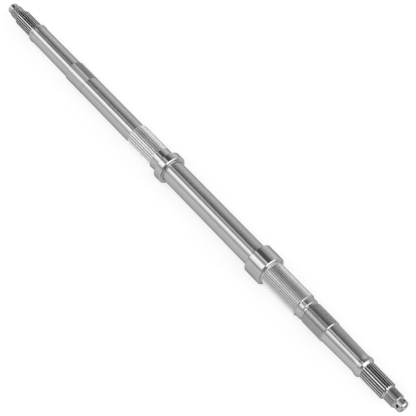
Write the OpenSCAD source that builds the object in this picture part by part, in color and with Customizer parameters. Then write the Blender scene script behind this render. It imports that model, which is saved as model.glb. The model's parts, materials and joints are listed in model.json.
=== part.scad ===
// Solid rear axle shaft of a small four-wheeled off-road vehicle, turned from one steel bar.
// The axis lies along Y, with the journal side towards -Y and the lock nut side towards +Y.
// The origin is on the axis at half the length. Stations are counted from the -Y end face.

/* [Wheel ends] */
// Diameter of the plain pilot at each tip
pilot_d = 16.7; // [15:0.1:18]
// Length of the pilot
pilot_len = 10; // [9:0.5:16]
// Chamfer on the end face of the pilot
pilot_chamfer = 1.8; // [0.8:0.1:2.4]
// Outside diameter of the thread behind the pilot
nut_thread_d = 20; // [19.5:0.1:21]
// Length of the thread behind the pilot
nut_thread_len = 17; // [12:0.5:24]
// Outside diameter of the wheel hub spline
hub_spline_d = 25; // [24.6:0.1:27]
// Length of the wheel hub spline
hub_spline_len = 40; // [30:1:55]
// Number of teeth of the wheel hub spline
hub_spline_teeth = 24; // [20:1:28]
// Depth of the wheel hub spline's grooves
hub_groove_depth = 1.2; // [0.9:0.05:1.4]
// First groove of the wheel hub splines, in degrees from straight up towards +X
hub_spline_angle = 8.5; // [0:0.5:15]

/* [Hub shoulders] */
// Diameter of the shoulder that the wheel hub seats on
shoulder_d = 30.4; // [30:0.1:34]
// Length of the conical seat between spline and shoulder
seat_len = 2.8; // [2:0.1:5]
// Length of the shoulder at full diameter
shoulder_len = 3.8; // [2:0.1:6]
// Height of the square edge between the shoulder and the hollow curve behind it
shoulder_lip = 0.3; // [0.2:0.05:0.35]
// Length of the hollow curve from the shoulder down to the shaft
shoulder_fall_len = 7.5; // [5:0.5:12]

/* [Crossed holes] */
// Diameter of the crossed holes through each pilot
cotter_d = 4; // [3:0.1:5]
// Distance of the hole axes from the end face
cotter_inset = 5.8; // [5.4:0.1:6.2]
// First hole of the journal side, in degrees from straight up towards +X
cotter_angle_journal_side = 6; // [0:1:89]
// First hole of the lock nut side, in degrees from straight up towards +X
cotter_angle_nut_side = 58; // [0:1:89]

/* [Lathe centres] */
// Mouth diameter of the 60 degree centre in each end face
centre_mouth_d = 4; // [3:0.1:4.4]
// Diameter of the small drilling below the cone
centre_drill_d = 1.6; // [1.2:0.1:2]
// Depth of the centre to the end of the drilling
centre_depth = 3.4; // [3:0.1:3.6]

/* [Journal side] */
// Shaft diameter next to the hub shoulder
journal_side_outer_d = 28.8; // [27:0.1:29.6]
// Shaft diameter next to the journal
journal_side_inner_d = 29.3; // [27:0.1:31]
// Length of the shaft between hub shoulder and journal
journal_side_len = 86.7; // [60:0.1:120]
// Diameter of the ground journal
journal_d = 32; // [31.8:0.1:34]
// Length of the ground journal
journal_len = 40; // [25:0.5:60]
// Shaft diameter between journal and inner spline
waist_d = 31.6; // [30:0.1:31.8]
// Length of the shaft between journal and inner spline
waist_len = 116; // [80:1:150]

/* [Journal side spline] */
// Outside diameter of the spline
journal_spline_d = 35; // [34.6:0.1:36]
// Length of the spline with its run-out
journal_spline_len = 54; // [40:1:70]
// Number of teeth
journal_spline_teeth = 32; // [28:1:36]
// Depth of the grooves
journal_groove_depth = 1.4; // [1:0.05:1.6]
// Diameter of the neck between spline and collar
neck_d = 34.4; // [33:0.1:34.6]
// Length of the neck
neck_len = 15; // [8:0.5:25]

/* [Collars and middle] */
// Outside diameter of both collars
collar_d = 45; // [44:0.1:50]
// Width of the collar on the journal side
journal_collar_len = 13; // [10:0.5:20]
// Width of the collar on the lock nut side
nut_collar_len = 28; // [15:0.5:35]
// Diameter of the shaft between the collars
middle_d = 34; // [32:0.1:36]
// Length of the shaft between the collars
middle_len = 184; // [140:0.5:240]
// Chamfer on the collars' outward edges
collar_chamfer = 1.4; // [0.5:0.1:2]
// Fillet between the middle shaft and the collars
middle_fillet_r = 2; // [1:0.5:4]
// Fillet between a collar and the part outside it
outer_fillet_r = 1.5; // [0.5:0.1:2]

/* [Lock nut side spline] */
// Outside diameter of the spline
nut_spline_d = 35; // [34.6:0.1:36]
// Length of the spline from the collar to its open end
nut_spline_len = 66; // [50:1:80]
// Number of teeth
nut_spline_teeth = 40; // [34:1:44]
// Depth of the grooves
nut_groove_depth = 1.2; // [0.9:0.05:1.3]

/* [Lock nut thread] */
// Diameter of the land between spline and thread
land_d = 31.8; // [31:0.1:32.2]
// Length of the land
land_len = 8.7; // [5:0.1:14]
// Diameter of the thread relief
relief_d = 29.8; // [28.5:0.1:30.4]
// Length of the thread relief
relief_len = 3.3; // [2.4:0.1:5]
// Outside diameter of the lock nut thread
lock_thread_d = 32; // [31.8:0.1:34]
// Length of the lock nut thread
lock_thread_len = 37.6; // [25:0.1:50]
// Diameter of the tapered shaft next to the thread
taper_inner_d = 30.2; // [29:0.1:30.6]
// Diameter of the tapered shaft next to the hub shoulder
taper_outer_d = 27.8; // [26:0.1:29.6]
// Length of the tapered shaft
taper_len = 52; // [30:0.5:80]

/* [Edges] */
// Chamfer at the start of the threads
thread_chamfer = 1.2; // [0.8:0.1:1.6]
// Chamfer at the open ends of the wheel hub splines
hub_chamfer = 2; // [1:0.1:2.2]
// Chamfer at the open ends of the inner splines
spline_chamfer = 1.4; // [0.8:0.1:1.6]
// Chamfer of the land towards the thread relief
land_chamfer = 0.9; // [0.4:0.1:1]
// Small edge break on the journal and on the inward edges of the collars
edge_break = 1; // [0.3:0.1:1.2]
// Angle of the groove flanks to the groove's middle plane
flank_angle = 30; // [25:1:35]
// Slope of the run-out at the closed end of the grooves
run_out_angle = 16; // [10:1:30]

/* [Hidden] */
$fn = 128;
// Overlap of joined shapes, and the reach of a cut past a surface
lap = 0.5;
// Angle between the side of a lathe centre and the axis
centre_half_angle = 30;
// Straight up, while the shaft stands along Z
up = -90;
steel = [0.74, 0.74, 0.75];

// Stations of the section ends, from the -Y end face
s_pilot = pilot_len;
s_nut_thread = s_pilot + nut_thread_len;
s_hub_spline = s_nut_thread + hub_spline_len;
s_seat = s_hub_spline + seat_len;
s_shoulder = s_seat + shoulder_len;
s_fall = s_shoulder + shoulder_fall_len;
s_outer = s_fall + journal_side_len;
s_journal = s_outer + journal_len;
s_waist = s_journal + waist_len;
s_journal_spline = s_waist + journal_spline_len;
s_neck = s_journal_spline + neck_len;
s_journal_collar = s_neck + journal_collar_len;
s_middle = s_journal_collar + middle_len;
s_nut_collar = s_middle + nut_collar_len;
s_nut_spline = s_nut_collar + nut_spline_len;
s_land = s_nut_spline + land_len;
s_relief = s_land + relief_len;
s_lock_thread = s_relief + lock_thread_len;
s_taper = s_lock_thread + taper_len;
total_len = s_taper + s_fall;

// Half outline of a wheel end from its tip to the shoulder, as [radius, station]
wheel_end = [
    [0, 0],
    [pilot_d / 2 - pilot_chamfer, 0],
    [pilot_d / 2, pilot_chamfer],
    [pilot_d / 2, s_pilot],
    [nut_thread_d / 2 - thread_chamfer, s_pilot],
    [nut_thread_d / 2, s_pilot + thread_chamfer],
    [nut_thread_d / 2, s_nut_thread],
    [hub_spline_d / 2 - hub_chamfer, s_nut_thread],
    [hub_spline_d / 2, s_nut_thread + hub_chamfer],
    [hub_spline_d / 2, s_hub_spline],
    [shoulder_d / 2, s_seat],
    [shoulder_d / 2, s_shoulder],
];

// Half outline of the shaft between the two shoulders
shaft_outline = [
    [journal_side_outer_d / 2, s_shoulder],
    [journal_side_outer_d / 2, s_fall],
    [journal_side_inner_d / 2, s_outer],
    [journal_d / 2 - edge_break, s_outer],
    [journal_d / 2, s_outer + edge_break],
    [journal_d / 2, s_journal],
    [waist_d / 2, s_journal],
    [waist_d / 2, s_waist],
    [journal_spline_d / 2 - spline_chamfer, s_waist],
    [journal_spline_d / 2, s_waist + spline_chamfer],
    [journal_spline_d / 2, s_journal_spline],
    [neck_d / 2, s_journal_spline],
    [neck_d / 2, s_neck],
    [collar_d / 2 - edge_break, s_neck],
    [collar_d / 2, s_neck + edge_break],
    [collar_d / 2, s_journal_collar - collar_chamfer],
    [collar_d / 2 - collar_chamfer, s_journal_collar],
    [middle_d / 2, s_journal_collar],
    [middle_d / 2, s_middle],
    [collar_d / 2 - edge_break, s_middle],
    [collar_d / 2, s_middle + edge_break],
    [collar_d / 2, s_nut_collar - collar_chamfer],
    [collar_d / 2 - collar_chamfer, s_nut_collar],
    [nut_spline_d / 2, s_nut_collar],
    [nut_spline_d / 2, s_nut_spline - spline_chamfer],
    [nut_spline_d / 2 - spline_chamfer, s_nut_spline],
    [land_d / 2, s_nut_spline],
    [land_d / 2, s_land - land_chamfer],
    [land_d / 2 - land_chamfer, s_land],
    [relief_d / 2, s_land],
    [relief_d / 2, s_relief],
    [lock_thread_d / 2 - thread_chamfer, s_relief],
    [lock_thread_d / 2, s_relief + thread_chamfer],
    [lock_thread_d / 2, s_lock_thread - thread_chamfer],
    [lock_thread_d / 2 - thread_chamfer, s_lock_thread],
    [taper_inner_d / 2, s_lock_thread],
    [taper_outer_d / 2, s_taper],
    [taper_outer_d / 2, s_taper + shoulder_fall_len],
];

// The wheel end's outline seen from the other tip
function other_end(points) = [
    for (i = [len(points) - 1 : -1 : 0]) [points[i][0], total_len - points[i][1]]
];

// Material left in an inside corner by a fillet: side is 1 above the corner and -1 below it
module corner_fillet(radius, station, fillet_r, side) {
    translate([radius, station]) difference() {
        translate([-lap, side > 0 ? -lap : -fillet_r]) square(fillet_r + lap);
        translate([fillet_r, side * fillet_r]) circle(fillet_r);
    }
}

// Hollow curve from below the shoulder's square edge down to a shaft of the given diameter
module shoulder_fall(shaft_d) {
    height = (shoulder_d - shaft_d) / 2 - shoulder_lip;
    curve_r = (shoulder_fall_len * shoulder_fall_len + height * height) / (2 * height);
    translate([shaft_d / 2, s_shoulder]) difference() {
        translate([-lap, -lap]) square([lap + height + shoulder_lip / 2, lap + shoulder_fall_len]);
        translate([curve_r, shoulder_fall_len]) circle(curve_r);
    }
}

module turned_blank() {
    rotate_extrude() {
        polygon(concat(wheel_end, shaft_outline, other_end(wheel_end)));
        shoulder_fall(journal_side_outer_d);
        translate([0, total_len]) mirror([0, 1]) shoulder_fall(taper_outer_d);
        corner_fillet(neck_d / 2, s_neck, outer_fillet_r, -1);
        corner_fillet(middle_d / 2, s_journal_collar, middle_fillet_r, 1);
        corner_fillet(middle_d / 2, s_middle, middle_fillet_r, -1);
        corner_fillet(nut_spline_d / 2, s_nut_collar, outer_fillet_r, 1);
    }
}

// Section of a groove across the shaft: X is the height above the groove's floor
module groove_section(spline_d, teeth, depth) {
    middle_w = PI * (spline_d - depth) / teeth / 2;
    floor_w = middle_w - depth * tan(flank_angle);
    mouth_depth = depth + lap;
    mouth_w = floor_w + 2 * mouth_depth * tan(flank_angle);
    polygon([
        [0, -floor_w / 2],
        [mouth_depth, -mouth_w / 2],
        [mouth_depth, mouth_w / 2],
        [0, floor_w / 2],
    ]);
}

// Cutter of one groove along Z in the direction of +X: open at the start, its floor rising out at the end
module groove(spline_d, teeth, depth, length) {
    rise = tan(run_out_angle);
    translate([spline_d / 2 - depth, 0, 0]) difference() {
        translate([0, 0, -lap]) linear_extrude(length + 2 * lap) groove_section(spline_d, teeth, depth);
        // Steel that stays under the rising floor
        rotate([90, 0, 0]) linear_extrude(spline_d, center = true) polygon([
            [-lap, length - (depth + 2 * lap) / rise],
            [depth + 2 * lap, length + lap / rise],
            [-lap, length + lap / rise],
        ]);
    }
}

// All grooves of a spline that starts open at station 0
module grooves(spline_d, teeth, depth, length, first_angle) {
    for (i = [0 : teeth - 1]) {
        rotate([0, 0, first_angle + i * 360 / teeth]) groove(spline_d, teeth, depth, length);
    }
}

// Two crossed holes through the pilot
module cotter_holes(first_angle) {
    for (angle = [first_angle, first_angle + 90]) {
        translate([0, 0, cotter_inset]) rotate([0, 0, angle]) rotate([0, 90, 0])
            cylinder(d = cotter_d, h = pilot_d + 2 * lap, center = true);
    }
}

// Lathe centre in an end face
module centre() {
    cone_depth = (centre_mouth_d - centre_drill_d) / 2 / tan(centre_half_angle);
    cylinder(d1 = centre_mouth_d, d2 = centre_drill_d, h = cone_depth);
    translate([0, 0, cone_depth - lap]) cylinder(d = centre_drill_d, h = centre_depth - cone_depth + lap);
}

// What is cut into a wheel end after turning
module wheel_end_cuts(cotter_angle) {
    translate([0, 0, s_nut_thread])
        grooves(hub_spline_d, hub_spline_teeth, hub_groove_depth, hub_spline_len, up + hub_spline_angle);
    cotter_holes(up + cotter_angle);
    centre();
}

// Places a child of the -Y end at the +Y end
module at_other_end() {
    translate([0, 0, total_len]) mirror([0, 0, 1]) children();
}

module axle_shaft() {
    color(steel) rotate([-90, 0, 0]) translate([0, 0, -total_len / 2]) difference() {
        turned_blank();
        wheel_end_cuts(cotter_angle_journal_side);
        at_other_end() wheel_end_cuts(cotter_angle_nut_side);
        translate([0, 0, s_waist])
            grooves(journal_spline_d, journal_spline_teeth, journal_groove_depth, journal_spline_len, up);
        translate([0, 0, s_nut_spline]) mirror([0, 0, 1])
            grooves(nut_spline_d, nut_spline_teeth, nut_groove_depth, nut_spline_len - outer_fillet_r, up);
    }
}

axle_shaft();
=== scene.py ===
import json
import math

import bpy
from mathutils import Matrix, Vector


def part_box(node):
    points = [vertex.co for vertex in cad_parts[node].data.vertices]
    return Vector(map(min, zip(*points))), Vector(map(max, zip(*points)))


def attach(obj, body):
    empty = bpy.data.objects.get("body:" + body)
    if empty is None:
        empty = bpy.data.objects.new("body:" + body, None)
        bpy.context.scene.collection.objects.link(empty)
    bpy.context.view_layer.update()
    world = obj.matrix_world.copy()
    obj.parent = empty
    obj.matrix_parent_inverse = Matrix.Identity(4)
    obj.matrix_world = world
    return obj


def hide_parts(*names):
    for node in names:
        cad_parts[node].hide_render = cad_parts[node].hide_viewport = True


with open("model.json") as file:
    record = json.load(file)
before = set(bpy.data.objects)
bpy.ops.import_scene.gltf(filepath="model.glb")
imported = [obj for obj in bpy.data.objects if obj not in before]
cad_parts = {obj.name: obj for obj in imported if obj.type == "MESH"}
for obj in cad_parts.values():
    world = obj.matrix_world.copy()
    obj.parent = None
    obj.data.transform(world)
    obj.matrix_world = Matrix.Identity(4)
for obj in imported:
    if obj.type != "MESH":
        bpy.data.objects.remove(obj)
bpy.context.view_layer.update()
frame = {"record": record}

# The shaft lies along Y. Stations are counted in millimetres from its end face at -Y.
MM = 0.001
MOUNTS = {mount["name"]: mount for mount in frame["record"]["mounts"]}
END_LOW, END_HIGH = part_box("axle_shaft")
TOTAL_LEN = (END_HIGH.y - END_LOW.y) / MM


def mount_d(name):
    return 2 * MOUNTS[name]["dims"]["r_mm"]


# Wheel ends
PILOT_D = 16.7
PILOT_LEN = 10.0
PILOT_CHAMFER = 1.8
NUT_THREAD_D = mount_d("nut_side_thread")
NUT_THREAD_LEN = 17.0
HUB_SPLINE_D = 25.0
HUB_SPLINE_LEN = 40.0
HUB_TEETH = 24
HUB_GROOVE_DEPTH = 1.2
HUB_SPLINE_ANGLE = 8.5
SEAT_LEN = 2.8
SHOULDER_D = 30.4
SHOULDER_LEN = 3.8
SHOULDER_LIP = 0.3
SHOULDER_FALL_LEN = 7.5
CENTRE_MOUTH_D = 4.0
CENTRE_DRILL_D = 1.6
CENTRE_DEPTH = 3.4
CENTRE_HALF_ANGLE = math.radians(30)
HOLE_SINK = 0.4

# Journal side
JOURNAL_SIDE_OUTER_D = 28.8
JOURNAL_SIDE_INNER_D = 29.3
JOURNAL_SIDE_LEN = 86.7
JOURNAL_D = mount_d("journal_seat")
JOURNAL_LEN = 40.0
WAIST_D = 31.6
WAIST_LEN = 116.0
JOURNAL_SPLINE_D = 35.0
JOURNAL_SPLINE_LEN = 54.0
JOURNAL_TEETH = 32
JOURNAL_GROOVE_DEPTH = 1.4
NECK_D = 34.4
NECK_LEN = 15.0

# Collars and the middle
COLLAR_D = mount_d("nut_side_collar")
JOURNAL_COLLAR_LEN = 13.0
NUT_COLLAR_LEN = 28.0
MIDDLE_D = 34.0
MIDDLE_LEN = 184.0
MIDDLE_FILLET = 1.0
OUTER_FILLET = 1.5

# Lock thread side
NUT_SPLINE_D = 35.0
NUT_SPLINE_LEN = 66.0
NUT_TEETH = 40
NUT_GROOVE_DEPTH = 1.2
LAND_D = 31.8
LAND_LEN = 8.7
RELIEF_D = 29.8
RELIEF_LEN = 3.3
LOCK_THREAD_D = mount_d("lock_nut_thread")
LOCK_THREAD_LEN = 37.6
TAPER_INNER_D = 30.2
TAPER_OUTER_D = 27.8

# Edges, grooves and threads
COLLAR_CHAMFER = 1.4
THREAD_CHAMFER = 1.2
HUB_CHAMFER = 2.0
SPLINE_CHAMFER = 1.4
LAND_CHAMFER = 0.9
EDGE_BREAK = 1.0
EDGE_ROUND = 0.15
FLANK_ANGLE = math.radians(30)
RUN_OUT_ANGLE = math.radians(45)
THREAD_PITCH = 1.5
THREAD_DEPTH = 0.4 * THREAD_PITCH
THREAD_MOUTH_W = 0.55 * THREAD_PITCH

# Reach of a cutter past the surface, and fineness of the mesh
LAP = 0.5
THREAD_LAP = 0.1
SEGMENTS = 144
HOLE_SEGMENTS = 48
ROUND_STEPS = 8
EDGE_STEPS = 2
TOUCH = 1e-6
COIL_TURN = math.tau / SEGMENTS * 0.4
SMOOTH_ANGLE = math.radians(28)

# Stations of the section ends
S_PILOT = PILOT_LEN
S_NUT_THREAD = S_PILOT + NUT_THREAD_LEN
S_HUB_SPLINE = S_NUT_THREAD + HUB_SPLINE_LEN
S_SEAT = S_HUB_SPLINE + SEAT_LEN
S_SHOULDER = S_SEAT + SHOULDER_LEN
S_FALL = S_SHOULDER + SHOULDER_FALL_LEN
S_OUTER = S_FALL + JOURNAL_SIDE_LEN
S_JOURNAL = S_OUTER + JOURNAL_LEN
S_WAIST = S_JOURNAL + WAIST_LEN
S_JOURNAL_SPLINE = S_WAIST + JOURNAL_SPLINE_LEN
S_NECK = S_JOURNAL_SPLINE + NECK_LEN
S_JOURNAL_COLLAR = S_NECK + JOURNAL_COLLAR_LEN
S_MIDDLE = S_JOURNAL_COLLAR + MIDDLE_LEN
S_NUT_COLLAR = S_MIDDLE + NUT_COLLAR_LEN
S_NUT_SPLINE = S_NUT_COLLAR + NUT_SPLINE_LEN
S_LAND = S_NUT_SPLINE + LAND_LEN
S_RELIEF = S_LAND + RELIEF_LEN
S_LOCK_THREAD = S_RELIEF + LOCK_THREAD_LEN


def along(station):
    """The Y coordinate of a station, in metres."""
    return (station - TOTAL_LEN / 2) * MM


def arc_down(shaft_d):
    """The hollow curve from below the shoulder's lip to the shaft, as corners."""
    height = (SHOULDER_D - shaft_d) / 2 - SHOULDER_LIP
    curve_r = (SHOULDER_FALL_LEN**2 + height**2) / (2 * height)
    corners = []
    for i in range(ROUND_STEPS + 1):
        rest = SHOULDER_FALL_LEN * (1 - i / ROUND_STEPS)
        drop = curve_r - math.sqrt(curve_r**2 - rest**2)
        corners.append((S_FALL - rest, shaft_d + 2 * drop, 0))
    return corners


def wheel_end(shaft_d):
    """The outline of a wheel end, tip first, as corners of station, diameter and rounding."""
    cone_depth = (CENTRE_MOUTH_D - CENTRE_DRILL_D) / 2 / math.tan(CENTRE_HALF_ANGLE)
    return [
        (CENTRE_DEPTH, 0, 0),
        (CENTRE_DEPTH, CENTRE_DRILL_D, 0),
        (cone_depth, CENTRE_DRILL_D, 0),
        (0, CENTRE_MOUTH_D, EDGE_ROUND),
        (0, PILOT_D - 2 * PILOT_CHAMFER, EDGE_ROUND),
        (PILOT_CHAMFER, PILOT_D, EDGE_ROUND),
        (S_PILOT, PILOT_D, EDGE_ROUND),
        (S_PILOT, NUT_THREAD_D - 2 * THREAD_CHAMFER, 0),
        (S_PILOT + THREAD_CHAMFER, NUT_THREAD_D, 0),
        (S_NUT_THREAD, NUT_THREAD_D, EDGE_ROUND),
        (S_NUT_THREAD, HUB_SPLINE_D - 2 * HUB_CHAMFER, EDGE_ROUND),
        (S_NUT_THREAD + HUB_CHAMFER, HUB_SPLINE_D, EDGE_ROUND),
        (S_HUB_SPLINE, HUB_SPLINE_D, EDGE_ROUND),
        (S_SEAT, SHOULDER_D, EDGE_ROUND),
        (S_SHOULDER, SHOULDER_D, EDGE_ROUND),
    ] + arc_down(shaft_d)


def shaft_middle():
    """The outline between the two hollow curves."""
    return [
        (S_OUTER, JOURNAL_SIDE_INNER_D, EDGE_ROUND),
        (S_OUTER, JOURNAL_D - 2 * EDGE_BREAK, EDGE_ROUND),
        (S_OUTER + EDGE_BREAK, JOURNAL_D, EDGE_ROUND),
        (S_JOURNAL, JOURNAL_D, 0),
        (S_JOURNAL, WAIST_D, 0),
        (S_WAIST, WAIST_D, EDGE_ROUND),
        (S_WAIST, JOURNAL_SPLINE_D - 2 * SPLINE_CHAMFER, 0),
        (S_WAIST + SPLINE_CHAMFER, JOURNAL_SPLINE_D, EDGE_ROUND),
        (S_JOURNAL_SPLINE, JOURNAL_SPLINE_D, 0),
        (S_JOURNAL_SPLINE, NECK_D, 0),
        (S_NECK, NECK_D, OUTER_FILLET),
        (S_NECK, COLLAR_D - 2 * EDGE_BREAK, EDGE_ROUND),
        (S_NECK + EDGE_BREAK, COLLAR_D, EDGE_ROUND),
        (S_JOURNAL_COLLAR - COLLAR_CHAMFER, COLLAR_D, EDGE_ROUND),
        (S_JOURNAL_COLLAR, COLLAR_D - 2 * COLLAR_CHAMFER, EDGE_ROUND),
        (S_JOURNAL_COLLAR, MIDDLE_D, MIDDLE_FILLET),
        (S_MIDDLE, MIDDLE_D, MIDDLE_FILLET),
        (S_MIDDLE, COLLAR_D - 2 * EDGE_BREAK, EDGE_ROUND),
        (S_MIDDLE + EDGE_BREAK, COLLAR_D, EDGE_ROUND),
        (S_NUT_COLLAR - COLLAR_CHAMFER, COLLAR_D, EDGE_ROUND),
        (S_NUT_COLLAR, COLLAR_D - 2 * COLLAR_CHAMFER, EDGE_ROUND),
        (S_NUT_COLLAR, NUT_SPLINE_D, OUTER_FILLET),
        (S_NUT_SPLINE - SPLINE_CHAMFER, NUT_SPLINE_D, EDGE_ROUND),
        (S_NUT_SPLINE, NUT_SPLINE_D - 2 * SPLINE_CHAMFER, 0),
        (S_NUT_SPLINE, LAND_D, EDGE_ROUND),
        (S_LAND - LAND_CHAMFER, LAND_D, EDGE_ROUND),
        (S_LAND, LAND_D - 2 * LAND_CHAMFER, 0),
        (S_LAND, RELIEF_D, 0),
        (S_RELIEF, RELIEF_D, EDGE_ROUND),
        (S_RELIEF, LOCK_THREAD_D - 2 * THREAD_CHAMFER, 0),
        (S_RELIEF + THREAD_CHAMFER, LOCK_THREAD_D, 0),
        (S_LOCK_THREAD - THREAD_CHAMFER, LOCK_THREAD_D, 0),
        (S_LOCK_THREAD, LOCK_THREAD_D - 2 * THREAD_CHAMFER, 0),
        (S_LOCK_THREAD, TAPER_INNER_D, EDGE_ROUND),
    ]


def other_end(corners):
    """Corners of the -Y end, seen from the +Y tip."""
    return [(TOTAL_LEN - station, d, rounding) for station, d, rounding in reversed(corners)]


# Modelling helpers
def edit_mode():
    bpy.ops.object.mode_set(mode="EDIT")


def object_mode():
    bpy.ops.object.mode_set(mode="OBJECT")


def select_only(piece):
    bpy.ops.object.select_all(action="DESELECT")
    piece.select_set(True)
    bpy.context.view_layer.objects.active = piece


def pick(piece, test):
    """Selects the vertices in edit mode whose place passes the test."""
    bpy.ops.mesh.select_mode(type="VERT")
    bpy.ops.mesh.select_all(action="DESELECT")
    object_mode()
    for vertex in piece.data.vertices:
        vertex.select = test(vertex.co)
    edit_mode()


def draw_outline(name, corners):
    """Draws a line from corner to corner in the XY plane, then rounds its corners."""
    bpy.ops.object.select_all(action="DESELECT")
    bpy.ops.mesh.primitive_plane_add(size=MM)
    piece = bpy.context.object
    piece.name = name
    places = [Vector((d / 2 * MM, along(station), 0)) for station, d, _ in corners]
    edit_mode()
    bpy.ops.mesh.merge(type="CENTER")
    bpy.ops.transform.translate(value=places[0])
    for here, there in zip(places, places[1:]):
        bpy.ops.mesh.extrude_vertices_move(TRANSFORM_OT_translate={"value": there - here})
    for size in sorted({rounding for _, _, rounding in corners if rounding}):
        chosen = [place for place, corner in zip(places, corners) if corner[2] == size]
        pick(piece, lambda co: any((co - place).length < TOUCH for place in chosen))
        steps = ROUND_STEPS if size > EDGE_ROUND else EDGE_STEPS
        bpy.ops.mesh.bevel(offset=size * MM, segments=steps, affect="VERTICES")
    object_mode()
    return piece


def turn_on_lathe(piece):
    """Spins the outline round the Y axis into a closed solid."""
    select_only(piece)
    edit_mode()
    bpy.ops.mesh.select_all(action="SELECT")
    bpy.ops.mesh.spin(steps=SEGMENTS, angle=math.tau, center=(0, 0, 0), axis=(0, 1, 0))
    bpy.ops.mesh.select_all(action="SELECT")
    bpy.ops.mesh.remove_doubles(threshold=TOUCH)
    bpy.ops.mesh.normals_make_consistent(inside=False)
    object_mode()


def groove_cutters(spline_d, teeth, depth, station, length, side, first_angle):
    """Cutters of a spline's grooves, open at the station and running out on the given side."""
    floor_r = spline_d / 2 - depth
    height = depth + LAP
    middle_w = math.pi * (spline_d - depth) / teeth / 2
    floor_w = middle_w - depth * math.tan(FLANK_ANGLE)
    mouth_w = floor_w + 2 * height * math.tan(FLANK_ANGLE)
    reach = length + LAP
    ramp = depth / math.tan(RUN_OUT_ANGLE)
    start = along(station) - side * LAP * MM
    end = start + side * reach * MM
    bpy.ops.object.select_all(action="DESELECT")
    bpy.ops.mesh.primitive_cube_add(size=MM)
    cutter = bpy.context.object
    edit_mode()
    bpy.ops.transform.resize(value=(mouth_w, reach, height))
    bpy.ops.transform.translate(value=(0, (start + end) / 2, (floor_r + height / 2) * MM))
    pick(cutter, lambda co: co.z < (floor_r + LAP / 2) * MM)
    bpy.ops.transform.resize(value=(floor_w / mouth_w, 1, 1))
    bpy.ops.mesh.select_all(action="SELECT")
    bpy.ops.mesh.bisect(plane_co=(0, end - side * ramp * MM, 0), plane_no=(0, 1, 0))
    pick(cutter, lambda co: abs(co.y - end) < TOUCH and co.z < (floor_r + LAP / 2) * MM)
    rise = depth + LAP / 2
    bpy.ops.transform.translate(value=(0, 0, rise * MM))
    bpy.ops.transform.resize(value=(1 + 2 * rise * math.tan(FLANK_ANGLE) / floor_w, 1, 1))
    bpy.ops.mesh.select_all(action="SELECT")
    bpy.ops.mesh.normals_make_consistent(inside=False)
    turn = math.tau * (teeth - 1) / teeth
    bpy.ops.mesh.spin(steps=teeth - 1, angle=turn, dupli=True, center=(0, 0, 0), axis=(0, 1, 0))
    object_mode()
    cutter.data.transform(Matrix.Rotation(math.radians(first_angle), 4, "Y"))
    return cutter


def thread_cutter(thread_d, first, last):
    """A coil of the thread's V section from the first station to the last."""
    top_w = THREAD_MOUTH_W + 2 * THREAD_LAP * math.tan(FLANK_ANGLE)
    root_w = THREAD_MOUTH_W - 2 * THREAD_DEPTH * math.tan(FLANK_ANGLE)
    root_r = thread_d / 2 - THREAD_DEPTH
    height = THREAD_DEPTH + THREAD_LAP
    bpy.ops.object.select_all(action="DESELECT")
    bpy.ops.mesh.primitive_plane_add(size=MM)
    cutter = bpy.context.object
    edit_mode()
    bpy.ops.transform.resize(value=(height, top_w, 1))
    bpy.ops.transform.translate(value=((root_r + height / 2) * MM, along(first), 0))
    pick(cutter, lambda co: co.x < (root_r + height / 2) * MM)
    bpy.ops.transform.resize(value=(1, root_w / top_w, 1))
    bpy.ops.mesh.select_all(action="SELECT")
    bpy.ops.mesh.delete(type="ONLY_FACE")
    object_mode()
    screw = cutter.modifiers.new("coil", "SCREW")
    screw.axis = "Y"
    screw.screw_offset = THREAD_PITCH * MM
    screw.iterations = round((last - first) / THREAD_PITCH)
    screw.steps = SEGMENTS
    screw.render_steps = SEGMENTS
    bpy.ops.object.modifier_apply(modifier="coil")
    edit_mode()
    bpy.ops.mesh.select_all(action="SELECT")
    bpy.ops.mesh.fill_holes(sides=4)
    bpy.ops.mesh.select_all(action="SELECT")
    bpy.ops.mesh.normals_make_consistent(inside=False)
    object_mode()
    # Turned by part of a segment, so that its corners miss those of the shaft
    cutter.data.transform(Matrix.Rotation(COIL_TURN, 4, "Y"))
    return cutter


def hole_cutter(mount):
    """A drill through the shaft on the mount's axis, with a small countersink at both mouths."""
    radius = mount["dims"]["r_mm"] * MM
    half = mount["dims"]["length_mm"] / 2 * MM
    sink = HOLE_SINK * MM
    widened = 1 + 2 * sink / radius
    bpy.ops.object.select_all(action="DESELECT")
    bpy.ops.mesh.primitive_cylinder_add(
        radius=radius, depth=2 * (half - sink), vertices=HOLE_SEGMENTS
    )
    cutter = bpy.context.object
    edit_mode()
    for side in (-1, 1):
        pick(cutter, lambda co: co.z * side > 0)
        bpy.ops.mesh.extrude_region_move(TRANSFORM_OT_translate={"value": (0, 0, side * 2 * sink)})
        bpy.ops.transform.resize(value=(widened, widened, 1))
    bpy.ops.mesh.select_all(action="SELECT")
    bpy.ops.mesh.normals_make_consistent(inside=False)
    object_mode()
    turn = Vector((0, 0, 1)).rotation_difference(Vector(mount["axis"])).to_matrix().to_4x4()
    cutter.data.transform(Matrix.Translation(mount["pos_m"]) @ turn)
    return cutter


def cut(piece, cutter, finish):
    """Takes the cutter out of the piece and gives the cut faces a finish."""
    cutter.data.materials.append(finish)
    select_only(piece)
    difference = piece.modifiers.new("cut", "BOOLEAN")
    difference.operation = "DIFFERENCE"
    difference.solver = "EXACT"
    difference.material_mode = "TRANSFER"
    difference.object = cutter
    bpy.ops.object.modifier_apply(modifier="cut")
    select_only(cutter)
    bpy.ops.object.delete()


# Node helpers
def feed(tree, socket, value):
    """Links a socket to another socket, or sets it to a plain value."""
    if isinstance(value, bpy.types.NodeSocket):
        tree.links.new(value, socket)
    else:
        socket.default_value = value


def calc(tree, operation, *values, kind="ShaderNodeMath", result=0):
    """The result of a math node on values or sockets."""
    node = tree.nodes.new(kind)
    node.operation = operation
    for socket, value in zip(node.inputs, values):
        feed(tree, socket, value)
    return node.outputs[result]


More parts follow.
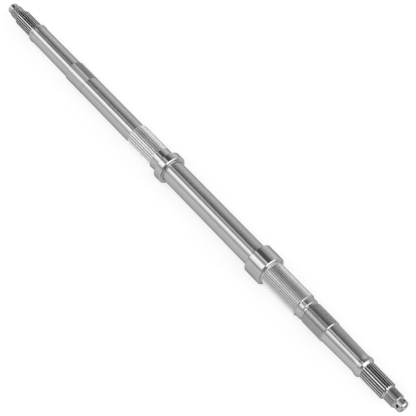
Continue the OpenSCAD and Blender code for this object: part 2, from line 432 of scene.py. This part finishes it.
def calc_vector(tree, operation, *values, result="Vector"):
    return calc(tree, operation, *values, kind="ShaderNodeVectorMath", result=result)


def change(tree, value, start, end, top=1.0, course="LINEAR"):
    """0 where the value is at the start, and the top where it is at the end."""
    node = tree.nodes.new("ShaderNodeMapRange")
    node.interpolation_type = course
    feed(tree, node.inputs["Value"], value)
    feed(tree, node.inputs["From Min"], start)
    feed(tree, node.inputs["From Max"], end)
    feed(tree, node.inputs["To Max"], top)
    return node.outputs["Result"]


def noise(tree, place, scale, detail):
    texture = tree.nodes.new("ShaderNodeTexNoise")
    texture.inputs["Scale"].default_value = scale
    texture.inputs["Detail"].default_value = detail
    tree.links.new(place, texture.inputs["Vector"])
    return texture.outputs[0]


# Finishes, with the lay of the tool marks as marks to the metre along X, Y and Z
ROUND_LAY = (70, 2600, 70)
GROUND_LAY = (120, 7000, 120)
LONG_LAY = (2400, 60, 2400)
MARK_DETAIL = 3.0
MARK_SHADE = 0.10
MARK_HEIGHT = 0.004
GROUND_MARK_HEIGHT = 0.001
MARK_STRENGTH = 0.5
SMUDGE_SCALE = 45.0
SMUDGE_DETAIL = 4.0
SMUDGE_SHADE = 0.16
SMUDGE_GLOSS = 0.4
EDGE_TINT = (0.40, 0.40, 0.40, 1)
QUARTER_TURN = 0.25


def make_marks():
    """Node group: tool marks along a lay, soft smudges of oil, and painted shade that darkens the
    surface towards a root radius.
    """
    group = bpy.data.node_groups.new("tool_marks", "ShaderNodeTree")
    sockets = group.interface
    sockets.new_socket("Lay", in_out="INPUT", socket_type="NodeSocketVector")
    for name in ("Shade", "Roughness", "Root", "Tip", "Painted Shade"):
        sockets.new_socket(name, in_out="INPUT", socket_type="NodeSocketFloat")
    sockets.new_socket("Color", in_out="OUTPUT", socket_type="NodeSocketColor")
    for name in ("Roughness", "Height"):
        sockets.new_socket(name, in_out="OUTPUT", socket_type="NodeSocketFloat")
    given = group.nodes.new("NodeGroupInput").outputs
    result = group.nodes.new("NodeGroupOutput").inputs
    place = group.nodes.new("ShaderNodeTexCoord").outputs["Object"]
    marks = noise(group, calc_vector(group, "MULTIPLY", place, given["Lay"]), 1.0, MARK_DETAIL)
    smudges = noise(group, place, SMUDGE_SCALE, SMUDGE_DETAIL)
    level = 1 - (MARK_SHADE + SMUDGE_SHADE) / 2
    smudged = calc(group, "MULTIPLY_ADD", smudges, SMUDGE_SHADE, level)
    marked = calc(group, "MULTIPLY_ADD", marks, MARK_SHADE, smudged)
    across = calc_vector(group, "MULTIPLY", place, (1, 0, 1))
    radius = calc_vector(group, "LENGTH", across, result="Value")
    # Painted shade: darker from the tip radius down to the root radius, by the given amount
    painted_shade = change(group, radius, given["Tip"], given["Root"], top=given["Painted Shade"])
    shade = calc(group, "MULTIPLY", marked, calc(group, "SUBTRACT", 1.0, painted_shade))
    feed(group, result["Color"], calc(group, "MULTIPLY", shade, given["Shade"]))
    gloss = calc(group, "MULTIPLY_ADD", smudges, SMUDGE_GLOSS, 1 - SMUDGE_GLOSS / 2)
    feed(group, result["Roughness"], calc(group, "MULTIPLY", gloss, given["Roughness"]))
    feed(group, result["Height"], marks)
    return group


def steel(name, lay, shade, roughness, blur_along=0.0, mark_height=MARK_HEIGHT):
    """Bare steel with marks along the lay; blur_along draws reflections out along the shaft."""
    material = bpy.data.materials.new(name)
    material.use_nodes = True
    tree = material.node_tree
    shader = tree.nodes["Principled BSDF"].inputs
    shader["Metallic"].default_value = 1
    shader["Specular Tint"].default_value = EDGE_TINT
    shader["Anisotropic"].default_value = blur_along
    shader["Anisotropic Rotation"].default_value = QUARTER_TURN
    round_axis = tree.nodes.new("ShaderNodeTangent")
    round_axis.direction_type = "RADIAL"
    round_axis.axis = "Y"
    tree.links.new(round_axis.outputs[0], shader["Tangent"])
    marks = tree.nodes.new("ShaderNodeGroup")
    marks.name = "marks"
    marks.node_tree = tool_marks
    marks.inputs["Lay"].default_value = lay
    marks.inputs["Shade"].default_value = shade
    marks.inputs["Roughness"].default_value = roughness
    tree.links.new(marks.outputs["Color"], shader["Base Color"])
    tree.links.new(marks.outputs["Roughness"], shader["Roughness"])
    bump = tree.nodes.new("ShaderNodeBump")
    bump.inputs["Strength"].default_value = MARK_STRENGTH
    bump.inputs["Distance"].default_value = mark_height * MM
    tree.links.new(marks.outputs["Height"], bump.inputs["Height"])
    tree.links.new(bump.outputs[0], shader["Normal"])
    return material


def paint_shade_in_cuts(material, tip_d, depth, painted_shade):
    """Paints shade into a finish, darker from the tip diameter down to the given depth in a cut, as if
    grooves, thread roots and holes lay in shadow.
    """
    marks = material.node_tree.nodes["marks"].inputs
    marks["Tip"].default_value = tip_d / 2 * MM
    marks["Root"].default_value = (tip_d / 2 - depth) * MM
    marks["Painted Shade"].default_value = painted_shade


tool_marks = make_marks()
turned_steel = steel("turned_steel", ROUND_LAY, shade=0.45, roughness=0.23, blur_along=0.95)
ground_steel = steel(
    "ground_steel", GROUND_LAY, shade=0.42, roughness=0.10, mark_height=GROUND_MARK_HEIGHT
)
# The journal-side hub is the nut-side hub finish painted darker, with painted shade reaching deeper
# into its grooves for the light on that end
journal_hub_steel_painted_darker = steel("journal_hub_steel_painted_darker", LONG_LAY, shade=0.70, roughness=0.30)
nut_hub_steel = steel("nut_hub_steel", LONG_LAY, shade=0.74, roughness=0.28)
# The journal spline is the cut spline finish painted lighter for the light falling on it; the nut
# spline below is the same steel
journal_spline_steel_painted_lighter = steel("journal_spline_steel_painted_lighter", LONG_LAY, shade=0.88, roughness=0.38)
nut_spline_steel = steel("nut_spline_steel", LONG_LAY, shade=0.76, roughness=0.38)
# The journal-side wheel thread is the nut-side thread finish painted darker, for the shade on that end
journal_thread_steel_painted_darker = steel("journal_thread_steel_painted_darker", ROUND_LAY, shade=0.36, roughness=0.28)
nut_thread_steel = steel("nut_thread_steel", ROUND_LAY, shade=0.42, roughness=0.32)
lock_thread_steel = steel("lock_thread_steel", ROUND_LAY, shade=0.50, roughness=0.20)
hole_steel = steel("hole_steel", ROUND_LAY, shade=0.45, roughness=0.30)
# Painted shade in the cuts: spline grooves, thread roots and hole walls darken towards their depth
paint_shade_in_cuts(journal_hub_steel_painted_darker, HUB_SPLINE_D, 0.05 * HUB_GROOVE_DEPTH, painted_shade=0.95)
paint_shade_in_cuts(nut_hub_steel, HUB_SPLINE_D, 0.1 * HUB_GROOVE_DEPTH, painted_shade=0.85)
paint_shade_in_cuts(journal_spline_steel_painted_lighter, JOURNAL_SPLINE_D, 0.6 * JOURNAL_GROOVE_DEPTH, painted_shade=0.40)
paint_shade_in_cuts(nut_spline_steel, NUT_SPLINE_D, 0.6 * NUT_GROOVE_DEPTH, painted_shade=0.35)
paint_shade_in_cuts(journal_thread_steel_painted_darker, NUT_THREAD_D, THREAD_DEPTH, painted_shade=0.50)
paint_shade_in_cuts(nut_thread_steel, NUT_THREAD_D, THREAD_DEPTH, painted_shade=0.50)
paint_shade_in_cuts(lock_thread_steel, LOCK_THREAD_D, THREAD_DEPTH, painted_shade=0.25)
paint_shade_in_cuts(hole_steel, PILOT_D, PILOT_D / 4, painted_shade=0.30)
FINISHES = (
    turned_steel,
    ground_steel,
    journal_hub_steel_painted_darker,
    nut_hub_steel,
    journal_spline_steel_painted_lighter,
    nut_spline_steel,
    journal_thread_steel_painted_darker,
    nut_thread_steel,
    lock_thread_steel,
    hole_steel,
)


def finish_between(piece, finish, first, last, least_d):
    """Gives a finish to the faces between two stations that lie outside a diameter."""
    slot = piece.data.materials.find(finish.name)
    for face in piece.data.polygons:
        outside = math.hypot(face.center.x, face.center.z) > least_d / 2 * MM
        if outside and along(first) < face.center.y < along(last):
            face.material_index = slot


# The shaft as it leaves the lathe
tip_first = wheel_end(JOURNAL_SIDE_OUTER_D)
tip_last = other_end(wheel_end(TAPER_OUTER_D))
shaft = draw_outline("axle_shaft_steel", tip_first + shaft_middle() + tip_last)
turn_on_lathe(shaft)
for finish in FINISHES:
    shaft.data.materials.append(finish)

# Stretches with a finish of their own, and the diameter that they lie outside
hub_start = S_NUT_THREAD + HUB_CHAMFER
stretches = (
    (journal_thread_steel_painted_darker, S_PILOT + THREAD_CHAMFER, S_NUT_THREAD, PILOT_D),
    (journal_hub_steel_painted_darker, hub_start, S_HUB_SPLINE, NUT_THREAD_D),
    (nut_hub_steel, TOTAL_LEN - S_HUB_SPLINE, TOTAL_LEN - hub_start, NUT_THREAD_D),
    (ground_steel, S_OUTER + EDGE_BREAK, S_JOURNAL, WAIST_D),
    (journal_spline_steel_painted_lighter, S_WAIST, S_JOURNAL_SPLINE, WAIST_D),
    (ground_steel, S_JOURNAL_SPLINE, S_NECK - OUTER_FILLET, WAIST_D),
    (ground_steel, S_NECK + EDGE_BREAK, S_JOURNAL_COLLAR - COLLAR_CHAMFER, NECK_D),
    (ground_steel, S_MIDDLE + EDGE_BREAK, S_NUT_COLLAR - COLLAR_CHAMFER, MIDDLE_D),
    (nut_spline_steel, S_NUT_COLLAR + OUTER_FILLET, S_NUT_SPLINE - SPLINE_CHAMFER, LAND_D),
)
for finish, first, last, least_d in stretches:
    finish_between(shaft, finish, first, last, least_d)

# Splines, with the side on which their grooves run out
hub_groove_len = HUB_SPLINE_LEN - LAP / 2
nut_groove_len = NUT_SPLINE_LEN - OUTER_FILLET
hub_spline = (HUB_SPLINE_D, HUB_TEETH, HUB_GROOVE_DEPTH)
journal_spline = (JOURNAL_SPLINE_D, JOURNAL_TEETH, JOURNAL_GROOVE_DEPTH)
nut_spline = (NUT_SPLINE_D, NUT_TEETH, NUT_GROOVE_DEPTH)
nut_side_start = TOTAL_LEN - S_NUT_THREAD
splines = (
    (journal_hub_steel_painted_darker, hub_spline, S_NUT_THREAD, hub_groove_len, 1, HUB_SPLINE_ANGLE),
    (nut_hub_steel, hub_spline, nut_side_start, hub_groove_len, -1, HUB_SPLINE_ANGLE),
    (journal_spline_steel_painted_lighter, journal_spline, S_WAIST, JOURNAL_SPLINE_LEN, 1, 0),
    (nut_spline_steel, nut_spline, S_NUT_SPLINE, nut_groove_len, -1, 0),
)
for finish, section, station, length, side, first_angle in splines:
    cut(shaft, groove_cutters(*section, station, length, side, first_angle), finish)

# Threads, each cut from past a chamfer to past a chamfer or to a pitch short of the spline
threads = (
    (lock_thread_steel, LOCK_THREAD_D, S_RELIEF - THREAD_PITCH, S_LOCK_THREAD + THREAD_PITCH),
    (journal_thread_steel_painted_darker, NUT_THREAD_D, S_PILOT - THREAD_PITCH, S_NUT_THREAD - THREAD_PITCH),
    (nut_thread_steel, NUT_THREAD_D, nut_side_start + THREAD_PITCH, TOTAL_LEN - S_PILOT + THREAD_PITCH),
)
for finish, thread_d, first, last in threads:
    cut(shaft, thread_cutter(thread_d, first, last), finish)

# Crossed holes
for mount in MOUNTS.values():
    if mount["kind"] == "bore":
        cut(shaft, hole_cutter(mount), hole_steel)

# Large faces keep their own normals beside small edge rounds
select_only(shaft)
bpy.ops.object.shade_smooth_by_angle(angle=SMOOTH_ANGLE)
shaft.modifiers.new("face_normals", "WEIGHTED_NORMAL").keep_sharp = True
bpy.ops.object.modifier_apply(modifier="face_normals")

# Joining the frame
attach(shaft, "root")
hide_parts("axle_shaft")

# Camera
CAMERA_AZIMUTH = math.radians(141.9)
CAMERA_ELEVATION = math.radians(53.4)
CAMERA_DISTANCE = 1.629
CAMERA_TARGET = Vector((0.0004, 0.0530, -0.0002))
CAMERA_LENS = 104.8
CAMERA_SENSOR_W = 36
to_camera = Vector((
    math.sin(CAMERA_AZIMUTH) * math.cos(CAMERA_ELEVATION),
    -math.cos(CAMERA_AZIMUTH) * math.cos(CAMERA_ELEVATION),
    math.sin(CAMERA_ELEVATION),
))
camera_data = bpy.data.cameras.new("camera")
camera_data.lens = CAMERA_LENS
camera_data.sensor_width = CAMERA_SENSOR_W
camera = bpy.data.objects.new("camera", camera_data)
bpy.context.scene.collection.objects.link(camera)
camera.location = CAMERA_TARGET + to_camera * CAMERA_DISTANCE
camera.rotation_euler = (-to_camera).to_track_quat("-Z", "Y").to_euler()
bpy.context.scene.camera = camera

# Floor: pale paint that takes the shadow, lifted to white where it is seen
FLOOR_Z = END_LOW.z
FLOOR_SIZE = 20
FLOOR_SHADE = 0.40
FLOOR_LIFT = 0.68


def make_floor_paint():
    paint = bpy.data.materials.new("floor_paint")
    paint.use_nodes = True
    tree = paint.node_tree
    tree.nodes.clear()
    diffuse = tree.nodes.new("ShaderNodeBsdfDiffuse")
    diffuse.inputs["Color"].default_value = (FLOOR_SHADE, FLOOR_SHADE, FLOOR_SHADE, 1)
    rays = tree.nodes.new("ShaderNodeLightPath").outputs
    seen = calc(tree, "MAXIMUM", rays["Is Camera Ray"], rays["Is Glossy Ray"])
    seen = calc(tree, "MAXIMUM", seen, rays["Is Transmission Ray"])
    lift = tree.nodes.new("ShaderNodeEmission")
    feed(tree, lift.inputs["Strength"], calc(tree, "MULTIPLY", seen, FLOOR_LIFT))
    both = tree.nodes.new("ShaderNodeAddShader")
    tree.links.new(diffuse.outputs[0], both.inputs[0])
    tree.links.new(lift.outputs[0], both.inputs[1])
    output = tree.nodes.new("ShaderNodeOutputMaterial")
    tree.links.new(both.outputs[0], output.inputs["Surface"])
    return paint


bpy.ops.object.select_all(action="DESELECT")
bpy.ops.mesh.primitive_plane_add(size=FLOOR_SIZE, location=(0, 0, FLOOR_Z))
floor = bpy.context.object
floor.name = "floor"
floor.data.materials.append(make_floor_paint())

# Studio tent: panels along the shaft, as degrees from straight up towards +X and brightness
TENT = (
    (-90, 1.36), (-69, 1.12), (-56, 0.88), (-44, 0.66), (-34, 0.36), (-25, 0.15), (-4, 0.15),
    (1, 1.40), (8, 1.40), (13, 0.50), (19, 0.60), (26, 1.30), (32, 2.30), (45, 2.10),
    (56, 1.70), (61, 1.00), (65, 0.55), (70, 0.60), (75, 1.10), (90, 1.10),
)
# The same panels from overhead towards +Y, which the lock thread side mirrors
TENT_NEAR = (
    (-90, 0.60), (-74, 0.52), (-60, 0.45), (-47, 0.36), (-36, 0.26), (-25, 0.24), (-4, 0.16),
    (1, 1.35), (8, 1.25), (13, 0.50), (19, 0.60), (26, 1.10), (33, 1.95), (40, 1.55),
    (48, 1.00), (56, 0.65), (63, 0.30), (68, 0.45), (74, 1.05), (90, 1.10),
)
# The same panels where they end towards -Y, which the journal side mirrors
TENT_FAR = (
    (-90, 1.60), (-64, 1.42), (-49, 1.18), (-38, 0.66), (-28, 0.30), (-20, 0.02), (10, 0.02),
    (20, 0.03), (26, 0.34), (32, 2.40), (38, 2.60), (48, 1.75), (60, 1.20), (69, 0.90),
    (84, 1.15), (90, 1.15),
)
# Card towards -Y, which the ground journal mirrors
JOURNAL_CARD = (
    (-90, 0.36), (-33, 0.32), (-26, 1.90), (-18, 1.30), (-8, 1.05), (18, 0.90), (26, 1.15),
    (33, 2.20), (45, 2.00), (56, 1.40), (62, 0.90), (75, 1.00), (90, 1.00),
)
# End panel towards +Y, which the edges that face the camera mirror
END_PANEL = (
    (-90, 1.0), (-75, 2.8), (14, 2.8), (26, 0.15), (70, 0.15), (90, 1.0),
)
# Where each set of panels starts to show and where it covers, along Y or away from the card
TENT_NEAR_Y = (-0.40, -0.34)
TENT_FAR_Y = (-0.50, -0.58)
JOURNAL_CARD_Y = -0.596
JOURNAL_CARD_FADE = (0.024, 0.013)
END_PANEL_Y = (0.54, 0.64)
# Brightness of a ramp's white
TENT_SCALE = 3.0


def panels(tree, share, stops):
    """A ramp over the bearing, whose stops are degrees and brightness."""
    node = tree.nodes.new("ShaderNodeValToRGB")
    ramp = node.color_ramp
    while len(ramp.elements) < len(stops):
        ramp.elements.new(1.0)
    for element, (degrees, level) in zip(ramp.elements, stops):
        shade = level / TENT_SCALE
        element.position = degrees / 180 + 0.5
        element.color = (shade, shade, shade, 1)
    tree.links.new(share, node.inputs["Fac"])
    return node.outputs["Color"]


def mixed(tree, factor, first, second):
    node = tree.nodes.new("ShaderNodeMix")
    node.data_type = "RGBA"
    tree.links.new(factor, node.inputs["Factor"])
    tree.links.new(first, node.inputs["A"])
    tree.links.new(second, node.inputs["B"])
    return node.outputs["Result"]


def make_tent():
    world = bpy.data.worlds.new("studio_tent")
    bpy.context.scene.world = world
    world.use_nodes = True
    tree = world.node_tree
    direction = tree.nodes.new("ShaderNodeTexCoord").outputs["Generated"]
    split = tree.nodes.new("ShaderNodeSeparateXYZ")
    tree.links.new(direction, split.inputs[0])
    x, y, z = split.outputs
    bearing = calc(tree, "ARCTAN2", x, z)
    share = change(tree, bearing, -math.pi / 2, math.pi / 2)
    from_card = calc(tree, "ABSOLUTE", calc(tree, "SUBTRACT", y, JOURNAL_CARD_Y))
    layers = (
        (TENT_NEAR, y, TENT_NEAR_Y),
        (TENT_FAR, y, TENT_FAR_Y),
        (JOURNAL_CARD, from_card, JOURNAL_CARD_FADE),
        (END_PANEL, y, END_PANEL_Y),
    )
    tent = panels(tree, share, TENT)
    for stops, place, (start, end) in layers:
        cover = change(tree, place, start, end, course="SMOOTHSTEP")
        tent = mixed(tree, cover, tent, panels(tree, share, stops))
    background = tree.nodes["Background"].inputs
    tree.links.new(tent, background["Color"])
    background["Strength"].default_value = TENT_SCALE


make_tent()

scene = bpy.context.scene
scene.view_settings.view_transform = "Standard"
